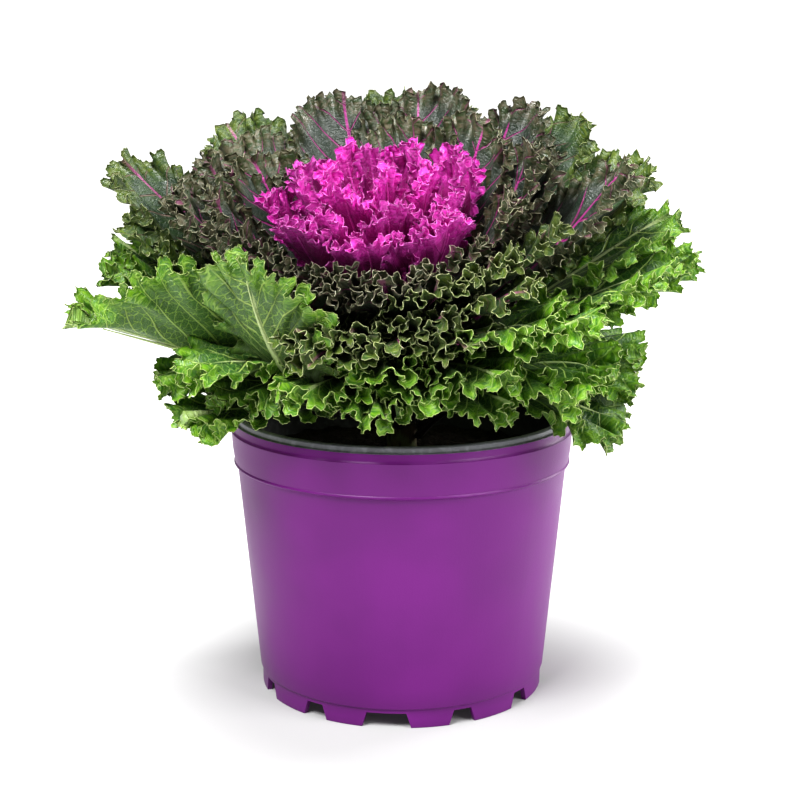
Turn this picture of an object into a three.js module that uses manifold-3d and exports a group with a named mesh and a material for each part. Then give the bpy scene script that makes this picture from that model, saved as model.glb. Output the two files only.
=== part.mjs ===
// Ornamental kale in a nursery pot: a thin two-tone plastic pot, the potting mix in it, and one plant,
// a bent stalk with a rosette of frilled leaves that turn from green through dusky purple to a magenta heart.
// Millimetres, +Z up, origin on the ground under the middle of the plant's spread. The plant's front is -Y.
import * as THREE from "three";
import { mergeVertices } from "three/addons/utils/BufferGeometryUtils.js";
import Module from "manifold-3d";

const wasm = await Module();
wasm.setup();

const degrees = Math.PI / 180;
const gap = 0.3; // clearance between pieces that touch

// ---------- driving dimensions ----------
const pot = {
  height: 136,
  rimRadius: 84,
  ridgeRadius: 85,
  ridgeHeight: 131.5,
  collarHeight: 114.2, // underside of the collar
  shoulderRadius: 82, // wall just under the collar
  footRadius: 71.2,
  footHeight: 9.4, // the band that the notches are cut in
  footStep: 0.9,
  footWall: 2.4, // the ring that the pot stands on is thicker than the rest of the wall
  wall: 1.3,
  ledgeWidth: 10.5, // flat top of the rim
  ledgeReturn: 5, // inner edge of the ledge, turned down
  segments: 72,
};
const notch = { count: 12, wideEvery: 4, first: -96, narrow: 9, wide: 19, height: 7.3, flare: 2.6 };
const drain = { count: 6, radius: 4, circle: 44, sides: 12 };
const soil = { surface: 117, edgeDrop: 3, lump: 1.2, rings: 7 };
const stalk = {
  depth: 42, // below the surface of the mix
  baseRadius: 8,
  crownRadius: 3.5,
  crownHeight: 113, // along the axis, above the mix
  bendLength: 60, // the axis curves over this much of its height and is straight above it
  bend: 22 * degrees, // lean of the crown
  bendTowards: -112 * degrees, // azimuth that it leans to
  sides: 12,
};
const leaves = {
  green: 24,
  dusky: 16,
  heart: 17,
  firstAzimuth: -62 * degrees,
  divergence: 137.508 * degrees,
  blade: 1.0, // thickness
  petioleHalfWidth: 3.0,
  fanHalfAngle: 98 * degrees,
  halfTurn: 27 * degrees, // how far round the stalk's axis a blade may wrap from its midrib
};
const leafCount = leaves.green + leaves.dusky + leaves.heart;

// How a leaf lies, by its age: 0 is the oldest and lowest leaf, 1 the youngest in the middle of the heart.
// `at` is the height on the stalk where it leaves it. The triples are [slope at the stalk, slope at the tip,
// length], with the slopes in degrees, for leaves that point to -Y (front), -X (left), +X and +Y.
const growth = [
  { age: 0.0, at: 10, front: [58, -35, 100], left: [52, -46, 120], right: [52, -46, 120], back: [42, -8, 134] },
  { age: 0.13, at: 20, front: [56, -25, 104], left: [50, -10, 130], right: [46, -18, 130], back: [38, 20, 156] },
  { age: 0.24, at: 29, front: [52, -12, 104], left: [43, 18, 152], right: [38, 8, 152], back: [34, 38, 168] },
  { age: 0.36, at: 40, front: [50, 0, 104], left: [39, 44, 152], right: [34, 34, 152], back: [31, 50, 172] },
  { age: 0.48, at: 50, front: [48, 12, 104], left: [37, 62, 132], right: [32, 52, 132], back: [30, 54, 160] },
  { age: 0.6, at: 61, front: [45, 30, 100], left: [36, 74, 107], right: [31, 64, 108], back: [29, 60, 128] },
  { age: 0.71, at: 72, front: [34, 58, 84], left: [38, 77, 82], right: [32, 66, 82], back: [30, 72, 84] },
  { age: 0.87, at: 94, front: [46, 78, 62], left: [49, 82, 62], right: [46, 78, 62], back: [46, 78, 62] },
  { age: 1.0, at: 112, front: [62, 84, 42], left: [62, 84, 42], right: [62, 84, 42], back: [62, 84, 42] },
];
const shape = [
  { age: 0.0, petiole: 0.42, width: 0.88, fold: 5, ruffle: 5.5, thick: 3.4 },
  { age: 0.36, petiole: 0.4, width: 0.86, fold: 4, ruffle: 4.6, thick: 3.2 },
  { age: 0.71, petiole: 0.3, width: 0.8, fold: 3, ruffle: 3.0, thick: 2.6 },
  { age: 1.0, petiole: 0.2, width: 0.48, fold: 0, ruffle: 1.6, thick: 1.6 },
];
// Leaves that differ from the rule, by their number: angles in degrees, `folds` for the halves of the blade.
const particular = {
  1: { azimuth: -30, rise: 50, end: -40, length: 124 }, // hangs beside the pot at the right
  3: { azimuth: -150, rise: 36, end: -17 }, // arches over the rim at the front left
  4: { end: -30 },
  6: { end: -18 },
  8: { rise: 32, end: -4, length: 118 },
  9: { azimuth: -44, end: -20 },
  11: { azimuth: -126, rise: 7, end: 86, length: 154, petiole: 90 }, // stands up at the front left
  12: { azimuth: 7, rise: 34, end: 16, length: 157, folds: [-6, 20] }, // this and 20 turn their faces forward
  13: { azimuth: 176, end: 24 },
  14: { azimuth: -78, end: -10 },
  16: { azimuth: -164, rise: 22, end: 26, length: 159, folds: [2, 40] }, // reaches far left, folded up
  17: { azimuth: -16 },
  19: { azimuth: -97, end: 14, length: 76 }, // this, 24 and 32 grow behind the standing leaf
  20: { azimuth: 24, rise: 36, end: 31, length: 160, folds: [0, 14] },
  21: { azimuth: 163, end: 44, length: 166 },
  22: { azimuth: -52, end: 10 },
  24: { azimuth: -140, rise: 47, end: 30, length: 66 },
  26: { azimuth: 135 },
  31: { azimuth: 97 },
  32: { azimuth: -122, rise: 47, length: 80 },
  37: { azimuth: -152, rise: 37 },
};

// ---------- helpers ----------

// A repeatable draw in 0..1 for leaf number `index`, one for each `channel`.
const draw = (index, channel) => {
  const s = Math.sin(index * 12.9898 + channel * 78.233) * 43758.5453;
  return s - Math.floor(s);
};

const spread = (index, channel) => 2 * draw(index, channel) - 1;

// Reads a table at an age, with straight lines between its rows.
function atAge(table, age, read) {
  const next = Math.max(1, table.findIndex((row) => row.age >= age));
  const [a, b] = [table[next - 1], table[next]];
  return THREE.MathUtils.mapLinear(age, a.age, b.age, read(a), read(b));
}

function toManifold(geometry) {
  const bare = geometry.index ? geometry.toNonIndexed() : geometry.clone();
  bare.deleteAttribute("normal");
  bare.deleteAttribute("uv");
  const merged = mergeVertices(bare, 1e-3);
  return new wasm.Manifold(
    new wasm.Mesh({
      numProp: 3,
      vertProperties: new Float32Array(merged.attributes.position.array),
      triVerts: new Uint32Array(merged.index.array),
    }),
  );
}

function toGeometry(solid) {
  const mesh = solid.getMesh();
  const geometry = new THREE.BufferGeometry();
  geometry.setAttribute("position", new THREE.BufferAttribute(mesh.vertProperties, 3));
  geometry.setIndex(new THREE.BufferAttribute(mesh.triVerts, 1));
  return geometry;
}

function namedMesh(name, geometry, material) {
  const mesh = new THREE.Mesh(geometry, material);
  mesh.name = name;
  return mesh;
}

const plastic = (color) => new THREE.MeshStandardMaterial({ color, roughness: 0.45, metalness: 0 });
const foliage = (color) => new THREE.MeshStandardMaterial({ color, roughness: 0.6, metalness: 0, flatShading: true });

// LatheGeometry turns about +Y, so it is stood up along +Z.
function lathe(profile, segments) {
  const points = profile.map(([radius, z]) => new THREE.Vector2(radius, z));
  return new THREE.LatheGeometry(points, segments).rotateX(Math.PI / 2);
}

// ---------- pot ----------

const wallRadiusAt = (z) =>
  THREE.MathUtils.mapLinear(
    z,
    pot.footHeight,
    pot.collarHeight,
    pot.footRadius + pot.footStep,
    pot.shoulderRadius,
  );

function potProfile() {
  const { wall, ridgeHeight: ridge, collarHeight: collar, height } = pot;
  const ledgeInner = pot.rimRadius - pot.ledgeWidth;
  return [
    [0, pot.footHeight],
    [pot.footRadius - pot.footWall, pot.footHeight],
    [pot.footRadius - pot.footWall, 0],
    [pot.footRadius - 0.5, 0],
    [pot.footRadius, 0.8],
    [pot.footRadius, pot.footHeight - 0.4],
    [wallRadiusAt(pot.footHeight), pot.footHeight + 0.5],
    [pot.shoulderRadius, collar],
    [pot.rimRadius, collar + 3.2],
    [pot.ridgeRadius, ridge],
    [pot.rimRadius - 0.5, ridge + 1],
    [pot.rimRadius, height - 0.4],
    [pot.rimRadius - 0.6, height],
    [ledgeInner, height],
    [ledgeInner - wall, height - wall],
    [ledgeInner - wall, height - pot.ledgeReturn],
    [ledgeInner, height - pot.ledgeReturn],
    [ledgeInner + 0.6, height - wall],
    [pot.rimRadius - wall - 0.5, height - wall],
    [pot.rimRadius - wall - 0.2, collar + 4],
    [pot.shoulderRadius - wall, collar + 0.5],
    [wallRadiusAt(pot.footHeight + wall) - wall, pot.footHeight + wall],
    [0, pot.footHeight + wall],
  ];
}

// A wedge that is widest at the ground, long enough to pass through the foot wall.
function notchCutter(width) {
  const half = width / 2;
  const shape = new THREE.Shape([
    new THREE.Vector2(-half - notch.flare, -1),
    new THREE.Vector2(half + notch.flare, -1),
    new THREE.Vector2(half, notch.height),
    new THREE.Vector2(-half, notch.height),
  ]);
  const geometry = new THREE.ExtrudeGeometry(shape, { depth: 12, bevelEnabled: false });
  return geometry.rotateX(Math.PI / 2).translate(0, -pot.footRadius + 7, 0);
}

function makePot() {
  let solid = toManifold(lathe(potProfile(), pot.segments));
  for (let i = 0; i < notch.count; i++) {
    const width = i % notch.wideEvery === 0 ? notch.wide : notch.narrow;
    const turn = (notch.first + 90) * degrees + (i * 2 * Math.PI) / notch.count;
    solid = solid.subtract(toManifold(notchCutter(width).rotateZ(turn)));
  }
  for (let i = 0; i < drain.count; i++) {
    const around = (i * 2 * Math.PI) / drain.count;
    const hole = new THREE.CylinderGeometry(drain.radius, drain.radius, 6, drain.sides).rotateX(Math.PI / 2);
    hole.translate(drain.circle * Math.cos(around), drain.circle * Math.sin(around), pot.footHeight);
    solid = solid.subtract(toManifold(hole));
  }
  return namedMesh("pot", toGeometry(solid), plastic(0x8e3a97));
}

// ---------- potting mix ----------

function makeSoil() {
  const floor = pot.footHeight + pot.wall + gap;
  const hole = stalk.baseRadius + gap + 0.1;
  const top = soil.surface;
  const wallAt = (z) => wallRadiusAt(z) - pot.wall - 2 * gap;
  const edge = wallAt(top - soil.edgeDrop - 4);
  const surface = Array.from({ length: soil.rings }, (_, i) => {
    const t = i / (soil.rings - 1);
    return [THREE.MathUtils.lerp(hole, edge - 2, t), top - soil.edgeDrop * t * t];
  });
  const profile = [
    [0, top - stalk.depth - gap],
    [hole, top - stalk.depth - gap],
    ...surface,
    [edge, top - soil.edgeDrop - 4],
    [wallAt(floor), floor],
    [0, floor],
  ].reverse();
  const geometry = lathe(profile, 36);
  const position = geometry.attributes.position;
  for (let i = 0; i < position.count; i++) {
    const [x, y, z] = [position.getX(i), position.getY(i), position.getZ(i)];
    const radius = Math.hypot(x, y);
    if (z < top - soil.edgeDrop - 1 || radius < hole + 1) continue;
    const lumps = Math.sin(0.31 * x + 1) * Math.cos(0.27 * y) + 0.6 * Math.sin(0.19 * x - 0.23 * y);
    position.setZ(i, z + soil.lump * lumps);
  }
  return namedMesh("potting_mix", geometry, foliage(0x2a211b));
}

// ---------- stalk ----------

// The axis of the stalk rises from the centre of the mix, leans over along a circular arc, and goes on straight.
function axisFrame(height) {
  const bent = THREE.MathUtils.clamp(height, 0, stalk.bendLength);
  const arc = stalk.bendLength / stalk.bend;
  const lean = bent / arc;
  const side = arc * (1 - Math.cos(lean)) + (height - bent) * Math.sin(lean);
  const rise = arc * Math.sin(lean) + (height - bent) * Math.cos(lean);
  const [east, north] = [Math.cos(stalk.bendTowards), Math.sin(stalk.bendTowards)];
  const up = new THREE.Vector3(0, 0, 1);
  const tangent = new THREE.Vector3(Math.sin(lean) * east, Math.sin(lean) * north, Math.cos(lean));
  return {
    point: new THREE.Vector3(side * east, side * north, soil.surface + rise),
    turn: new THREE.Quaternion().setFromUnitVectors(up, tangent),
  };
}

const stalkRadius = (height) =>
  THREE.MathUtils.mapLinear(Math.max(height, 0), 0, stalk.crownHeight, stalk.baseRadius, stalk.crownRadius);

function makeStalk() {
  const heights = [-stalk.depth, -1, 4];
  for (let h = 16; h < stalk.crownHeight; h += 15) heights.push(h);
  heights.push(stalk.crownHeight);
  const rings = heights.map((height) => {
    const { point, turn } = axisFrame(height);
    const radius = stalkRadius(height);
    return Array.from({ length: stalk.sides }, (_, k) => {
      const around = (k * 2 * Math.PI) / stalk.sides;
      return new THREE.Vector3(radius * Math.cos(around), radius * Math.sin(around), 0)
        .applyQuaternion(turn)
        .add(point);
    });
  });
  const vertices = rings.flat();
  const triangles = [];
  const n = stalk.sides;
  for (let r = 0; r < rings.length - 1; r++)
    for (let k = 0; k < n; k++) {
      const [a, b] = [r * n + k, r * n + ((k + 1) % n)];
      triangles.push(a, b, b + n, a, b + n, a + n);
    }
  const last = (rings.length - 1) * n;
  for (let k = 1; k < n - 1; k++) triangles.push(0, k + 1, k, last, last + k, last + k + 1);
  return namedMesh("stalk", indexed(vertices, triangles), foliage(0x8a9a5b));
}

function indexed(vertices, triangles) {
  const geometry = new THREE.BufferGeometry().setFromPoints(vertices);
  geometry.setIndex(triangles);
  geometry.computeVertexNormals();
  return geometry;
}

// ---------- leaves ----------

// The sizes of leaf number `index`, counted from the oldest.
function leafSizes(index) {
  const age = index / (leafCount - 1);
  const turned = leaves.firstAzimuth / degrees + (index * leaves.divergence) / degrees + 3 * spread(index, 2);
  const [east, north] = [Math.cos(turned * degrees), Math.sin(turned * degrees)];
  const [rise, end, reach] = [0, 1, 2].map((k) =>
    atAge(growth, age, (row) => {
      const across = (east < 0 ? row.left : row.right)[k];
      const forward = (north < 0 ? row.front : row.back)[k];
      return across * east ** 2 + forward * north ** 2;
    }),
  );
  const fold = atAge(shape, age, (row) => row.fold);
  const leaf = {
    azimuth: turned,
    height: atAge(growth, age, (row) => row.at),
    rise: rise + spread(index, 3),
    end: end + 2.5 * spread(index, 4),
    length: reach * (1 + 0.03 * spread(index, 1)),
    folds: [fold, fold],
    ...particular[index + 1],
  };
  const petiole = leaf.petiole ?? atAge(shape, age, (row) => row.petiole) * leaf.length;
  return {
    height: leaf.height,
    length: leaf.length,
    petiole,
    blade: leaf.length - petiole,
    azimuth: leaf.azimuth * degrees,
    rise: leaf.rise * degrees,
    end: leaf.end * degrees,
    folds: leaf.folds.map((angle) => angle * degrees),
    width: atAge(shape, age, (row) => row.width) * (1 + 0.05 * spread(index, 5)),
    ruffle: atAge(shape, age, (row) => row.ruffle),
    thick: atAge(shape, age, (row) => row.thick),
    phase: 2 * Math.PI * draw(index, 6),
    waves: index < leaves.green ? 12 : index < leaves.green + leaves.dusky ? 10 : 8,
  };
}

// The midrib is a circular arc in the plane of the stalk's axis: its slope goes from `rise` to `end`.
function midrib(leaf, along) {
  const start = stalkRadius(leaf.height) + gap + 0.5 * leaf.thick * Math.sin(leaf.rise);
  const bend = (leaf.end - leaf.rise) / leaf.length;
  const slope = leaf.rise + bend * along;
  return {
    slope,
    radius: start + (Math.sin(slope) - Math.sin(leaf.rise)) / bend,
    height: (Math.cos(leaf.rise) - Math.cos(slope)) / bend,
  };
}

// A point of the leaf's middle surface: `across` and `along` in millimetres, `lift` off the surface.
// The blade wraps about the stalk's axis, so leaves of different ages lie one inside the other, and each half
// of it folds up about the midrib, fully so past the end of the petiole.
function leafPoint(leaf, across, along, lift) {
  const rib = midrib(leaf, along);
  const room = rib.radius * leaves.halfTurn;
  const flattened = lift * Math.max(0.2, 1 / Math.cosh(across / room) ** 2); // the waves flatten where it is tight
  const fold = leaf.folds[across < 0 ? 0 : 1] * THREE.MathUtils.smoothstep(along / leaf.petiole, 0.6, 1.3);
  const up = flattened * Math.cos(fold) + Math.abs(across) * Math.sin(fold);
  const out = across * Math.cos(fold) - Math.sign(across) * flattened * Math.sin(fold);
  const radius = rib.radius - up * Math.sin(rib.slope);
  const height = rib.height + up * Math.cos(rib.slope);
  const turn = leaves.halfTurn * Math.tanh(out / room);
  return new THREE.Vector3(radius * Math.cos(turn), radius * Math.sin(turn), height);
}

// The blade spreads from the end of the petiole as a fan. `u` runs 0..1 round its margin, `q` 0..1 out to it.
// The margin reaches back behind the end of the petiole, and the rings inside it less so.
function fanPoint(leaf, u, q) {
  const round = leaves.fanHalfAngle * (2 * u - 1);
  const angle = round * THREE.MathUtils.lerp(0.75, 1, q);
  const outline = Math.pow(Math.cos(round * 0.82), 0.55);
  const lobes = 1 + 0.05 * Math.sin(2 * Math.PI * 3.3 * u + leaf.phase);
  const reach = leaf.blade * outline * lobes * q;
  return {
    across: reach * Math.sin(angle) * leaf.width,
    along: leaf.petiole + reach * Math.cos(angle),
  };
}

// The margin is longer than the blade it edges, so it stands up and down in waves.
function waveAt(leaf, u, q) {
  const strength = THREE.MathUtils.smoothstep(q, 0.3, 1.0) * (0.55 + 0.45 * Math.sin(Math.PI * u));
  const uneven = 1 + 0.25 * Math.sin(2 * Math.PI * 2.1 * u + 2 * leaf.phase);
  return leaf.ruffle * strength * uneven * Math.cos(2 * Math.PI * leaf.waves * u);
}

function leafGeometry(leaf) {
  const rim = 2 * leaf.waves; // edges round the margin, one for each rise and each fall
  const half = leaf.waves;
  const points = [];
  const thickness = [];
  const add = (across, along, lift, thick) => {
    points.push(leafPoint(leaf, across, along, lift));
    thickness.push(thick);
    return points.length - 1;
  };

  // Petiole: three lines of points, thick along the middle.
  const petiole = [0, 0.5, 1].map((t) => {
    const side = leaves.petioleHalfWidth * (1 - 0.25 * t);
    return [
      add(-side, leaf.petiole * t, 0.6, leaves.blade),
      add(0, leaf.petiole * t, 0, leaf.thick * (1 - 0.25 * t)),
      add(side, leaf.petiole * t, 0.6, leaves.blade),
    ];
  });

  // Blade: two rings inside and the waved margin.
  const ring = (count, q, rib) =>
    Array.from({ length: count + 1 }, (_, j) => {
      const u = j / count;
      const at = fanPoint(leaf, u, q);
      const middle = 2 * j === count;
      return add(at.across, at.along, waveAt(leaf, u, q), middle ? rib : leaves.blade);
    });
  const inner = ring(half, 0.36, 0.6 * leaf.thick);
  const outer = ring(half, 0.72, 0.4 * leaf.thick);
  const margin = ring(rim, 1.0, leaves.blade);

  const sheet = [];
  for (let t = 0; t < 2; t++)
    for (let k = 0; k < 2; k++) {
      const [a, b, c, d] = [petiole[t][k], petiole[t][k + 1], petiole[t + 1][k + 1], petiole[t + 1][k]];
      if (k === 0) sheet.push([a, b, c], [a, c, d]);
      else sheet.push([a, b, d], [b, c, d]);
    }
  const [left, apex, right] = petiole[2];
  sheet.push([left, apex, inner[0]], [apex, right, inner[half]]);
  for (let j = 0; j < half; j++) {
    sheet.push([apex, inner[j + 1], inner[j]]);
    if (j < half / 2) sheet.push([inner[j], inner[j + 1], outer[j]], [inner[j + 1], outer[j + 1], outer[j]]);
    else sheet.push([inner[j], outer[j + 1], outer[j]], [inner[j], inner[j + 1], outer[j + 1]]);
    sheet.push([outer[j], margin[2 * j + 1], margin[2 * j]]);
    sheet.push([outer[j], outer[j + 1], margin[2 * j + 1]]);
    sheet.push([outer[j + 1], margin[2 * j + 2], margin[2 * j + 1]]);
  }
  const edge = [
    ...petiole.map((row) => row[2]),
    inner[half],
    outer[half],
    ...[...margin].reverse(),
    outer[0],
    inner[0],
    ...petiole.map((row) => row[0]).reverse(),
    petiole[0][1],
  ];
  return thicken(points, sheet, edge, thickness);
}

// Turns an open sheet into a solid: the same triangles on both faces, and a wall round the edge.
function thicken(points, sheet, edge, thickness) {
  const normals = points.map(() => new THREE.Vector3());
  const [ab, ac] = [new THREE.Vector3(), new THREE.Vector3()];
  for (const [a, b, c] of sheet) {
    ab.subVectors(points[b], points[a]);
    ac.subVectors(points[c], points[a]);
    const normal = ab.clone().cross(ac);
    for (const k of [a, b, c]) normals[k].add(normal);
  }
  normals.forEach((normal) => normal.normalize());
  const face = (side) => points.map((p, k) => p.clone().addScaledVector(normals[k], (side * thickness[k]) / 2));
  const count = points.length;
  const triangles = [];
  for (const [a, b, c] of sheet) triangles.push(a, b, c, a + count, c + count, b + count);
  edge.forEach((a, k) => {
    const b = edge[(k + 1) % edge.length];
    triangles.push(b, a, a + count, b, a + count, b + count);
  });
  return indexed([...face(1), ...face(-1)], triangles);
}

function makeLeaf(index, name, material) {
  const leaf = leafSizes(index);
  const mesh = namedMesh(name, leafGeometry(leaf), material);
  const { point, turn } = axisFrame(leaf.height);
  mesh.position.copy(point);
  mesh.quaternion.copy(turn).multiply(
    new THREE.Quaternion().setFromAxisAngle(new THREE.Vector3(0, 0, 1), leaf.azimuth),
  );
  return mesh;
}

function makeLeaves() {
  const group = new THREE.Group();
  const kinds = [
    ["green_leaf", leaves.green, foliage(0x4f8a34)],
    ["dusky_leaf", leaves.dusky, foliage(0x5a5f4a)],
    ["heart_leaf", leaves.heart, foliage(0xc32aa5)],
  ];
  let index = 0;
  for (const [kind, count, material] of kinds)
    for (let k = 1; k <= count; k++) {
      group.add(makeLeaf(index, `${kind}_${String(k).padStart(2, "0")}`, material));
      index += 1;
    }
  return group;
}

const kale = new THREE.Group();
kale.add(makePot(), makeSoil(), makeStalk(), makeLeaves());

// The origin goes under the middle of the plant's spread, a little to one side of the pot's axis.
const middle = new THREE.Box3().setFromObject(kale, true).getCenter(new THREE.Vector3());
kale.position.set(-middle.x, -middle.y, 0);

export default kale;
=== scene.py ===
import math

import bpy
import numpy as np
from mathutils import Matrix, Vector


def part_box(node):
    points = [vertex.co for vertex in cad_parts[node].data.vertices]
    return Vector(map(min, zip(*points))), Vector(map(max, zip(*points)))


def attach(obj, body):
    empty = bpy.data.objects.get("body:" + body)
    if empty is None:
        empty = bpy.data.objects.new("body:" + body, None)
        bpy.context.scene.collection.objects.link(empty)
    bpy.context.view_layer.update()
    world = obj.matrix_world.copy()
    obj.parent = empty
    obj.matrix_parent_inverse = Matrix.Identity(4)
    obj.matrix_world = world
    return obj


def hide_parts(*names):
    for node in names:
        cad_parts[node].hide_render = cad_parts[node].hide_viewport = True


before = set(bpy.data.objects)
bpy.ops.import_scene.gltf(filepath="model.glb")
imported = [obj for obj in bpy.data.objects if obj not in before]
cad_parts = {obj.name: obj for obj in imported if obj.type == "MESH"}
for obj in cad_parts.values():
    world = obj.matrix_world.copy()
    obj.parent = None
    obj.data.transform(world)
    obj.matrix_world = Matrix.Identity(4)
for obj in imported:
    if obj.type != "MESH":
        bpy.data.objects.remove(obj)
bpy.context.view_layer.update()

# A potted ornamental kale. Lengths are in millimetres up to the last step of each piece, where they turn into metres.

# ---------- sizes, mostly the CAD part's ----------

GAP = 0.3
POT = {
    "height": 136.0, "rim": 84.0, "ridge": 85.0, "ridge_height": 131.5, "collar": 114.2, "shoulder": 82.0,
    "foot": 71.2, "foot_height": 9.4, "foot_step": 0.9, "foot_wall": 2.4, "wall": 1.3,
}
# The dark lip inside the rim, which rises above the purple edge.
LIP = {"rise": 2.8, "width": 5.2}
NOTCH = {"count": 12, "wide_every": 4, "first": -96.0, "narrow": 9.0, "wide": 19.0, "height": 7.3, "flare": 2.3}
DRAIN = {"count": 6, "radius": 4.0, "circle": 44.0}
SOIL = {"surface": 117.0, "edge_drop": 3.0, "lump": 1.2, "crumb": 0.9}
STALK = {
    "depth": 42.0, "base": 8.0, "crown": 3.5, "crown_height": 113.0, "bend_length": 60.0,
    "bend": math.radians(22), "towards": math.radians(-112),
}
# The bark lies this far inside the stalk's radius, and at the leaves' scars up to as far outside it.
BARK = 0.25
SCAR = {"thick": 0.5, "half_angle": 0.45, "below": 1.6, "half_height": 1.1}
GREEN, DUSKY, HEART = 24, 16, 17
WAVES = {"green": 12, "dusky": 10, "heart": 8}
FIRST_AZIMUTH, DIVERGENCE = -62.0, 137.508
FAN_HALF_ANGLE, HALF_TURN = math.radians(98), math.radians(27)
# How far a leaf may stray from the rule: in degrees, and as shares of its length and width.
STRAY = {"azimuth": 3, "rise": 1, "end": 2.5, "length": 0.03, "width": 0.05}
# The blade's outline: how far its lines are spread at the base, how it narrows and how blunt it stays, and its lobes.
FAN = {"at_base": 0.75, "narrowing": 0.82, "bluntness": 0.55, "lobe": 0.05, "lobes": 3.3}
# Where a leaf's two halves start and end to fold up, in petiole lengths.
FOLDS_UP = (0.6, 1.3)

# Rows by age, from the oldest leaf (0) to the youngest (1): slope at the stalk, slope at the tip, length.
GROWTH_AGES = [0.0, 0.13, 0.24, 0.36, 0.48, 0.6, 0.71, 0.87, 1.0]
GROWTH_HEIGHT = [10, 20, 29, 40, 50, 61, 72, 94, 112]
GROWTH = {
    "front": [(58, -35, 100), (56, -25, 104), (52, -12, 104), (50, 0, 104), (48, 12, 104), (45, 30, 100),
              (34, 58, 84), (46, 78, 62), (62, 84, 42)],
    "left": [(52, -46, 120), (50, -10, 130), (43, 18, 152), (39, 44, 152), (37, 62, 132), (36, 74, 107),
             (38, 77, 82), (49, 82, 62), (62, 84, 42)],
    "right": [(52, -46, 120), (46, -18, 130), (38, 8, 152), (34, 34, 152), (32, 52, 132), (31, 64, 108),
              (32, 66, 82), (46, 78, 62), (62, 84, 42)],
    "back": [(42, -8, 134), (38, 20, 156), (34, 38, 168), (31, 50, 172), (30, 54, 160), (29, 60, 128),
             (30, 72, 84), (46, 78, 62), (62, 84, 42)],
}
SHAPE_AGES = [0.0, 0.36, 0.71, 1.0]
SHAPE = {
    "petiole": [0.42, 0.4, 0.3, 0.2], "width": [0.88, 0.86, 0.8, 0.48], "fold": [5, 4, 3, 0],
    "ruffle": [5.5, 4.6, 3.0, 1.6], "thick": [3.4, 3.2, 2.6, 1.6],
}
# Leaves that differ from the rule, by their number.
PARTICULAR = {
    1: {"azimuth": -30, "rise": 50, "end": -40, "length": 124},
    3: {"azimuth": -150, "rise": 36, "end": -17},
    4: {"end": -30},
    6: {"end": -18},
    8: {"rise": 32, "end": -4, "length": 118},
    9: {"azimuth": -44, "end": -20},
    11: {"azimuth": -126, "rise": 7, "end": 86, "length": 154, "petiole": 90},
    12: {"azimuth": 7, "rise": 34, "end": 16, "length": 157, "folds": (-6, 20)},
    13: {"azimuth": 176, "end": 24},
    14: {"azimuth": -78, "end": -10},
    16: {"azimuth": -164, "rise": 22, "end": 26, "length": 159, "folds": (2, 40)},
    17: {"azimuth": -16},
    19: {"azimuth": -97, "end": 14, "length": 76},
    20: {"azimuth": 24, "rise": 36, "end": 31, "length": 160, "folds": (0, 14)},
    21: {"azimuth": 163, "end": 44, "length": 166},
    22: {"azimuth": -52, "end": 10},
    24: {"azimuth": -140, "rise": 47, "end": 30, "length": 66},
    26: {"azimuth": 135},
    31: {"azimuth": 97},
    32: {"azimuth": -122, "rise": 47, "length": 80},
    37: {"azimuth": -152, "rise": 37},
}

low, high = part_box("pot")
POT_CENTRE = np.array([(low[0] + high[0]) / 2, (low[1] + high[1]) / 2, 0.0])


# ---------- helpers ----------

def draw(index, channel):
    """A repeatable draw in 0..1 for a leaf, one for each channel."""
    value = math.sin(index * 12.9898 + channel * 78.233) * 43758.5453
    return value - math.floor(value)


def spread(index, channel):
    """The same draw in -1..1."""
    return 2 * draw(index, channel) - 1


def smoothstep(value, low, high):
    t = np.clip((value - low) / (high - low), 0, 1)
    return t * t * (3 - 2 * t)


def unit(vectors):
    shortest = 1e-9
    return vectors / np.maximum(np.linalg.norm(vectors, axis=-1, keepdims=True), shortest)


def tube_faces(rings, sides):
    """Triangles of a tube of rings and of its two ends, whose middle points follow the rings' points."""
    k, i = np.meshgrid(np.arange(rings - 1), np.arange(sides), indexing="ij")
    a, b = (k * sides + i).ravel(), (k * sides + (i + 1) % sides).ravel()
    c = np.arange(sides)
    d = (c + 1) % sides
    last, start, end = (rings - 1) * sides, rings * sides, rings * sides + 1
    return np.concatenate([
        np.stack([a, b, b + sides], 1), np.stack([a, b + sides, a + sides], 1),
        np.stack([d, c, np.full(sides, start)], 1), np.stack([last + c, last + d, np.full(sides, end)], 1),
    ])


def turned_faces(columns, rows, low, high):
    """Faces of an outline turned about the axis, and each quad's row; low and high are its ends, on the axis."""
    i, j = np.meshgrid(np.arange(columns), np.arange(1, rows - 2), indexing="ij")
    a, b = (i * rows + j).ravel(), (((i + 1) % columns) * rows + j).ravel()
    faces = [tuple(quad) for quad in np.stack([a, b, b + 1, a + 1], 1)]
    for k in range(columns):
        following = (k + 1) % columns
        faces.append((low, following * rows + 1, k * rows + 1))
        faces.append((high, k * rows + rows - 2, following * rows + rows - 2))
    return faces, j.ravel()


def without_spares(points, faces):
    """The points that are in use, and the faces by their new numbers."""
    used = np.unique(np.concatenate([np.asarray(face) for face in faces]))
    renumbered = np.full(len(points), -1)
    renumbered[used] = np.arange(len(used))
    return points[used], [tuple(renumbered[list(face)]) for face in faces]


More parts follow.
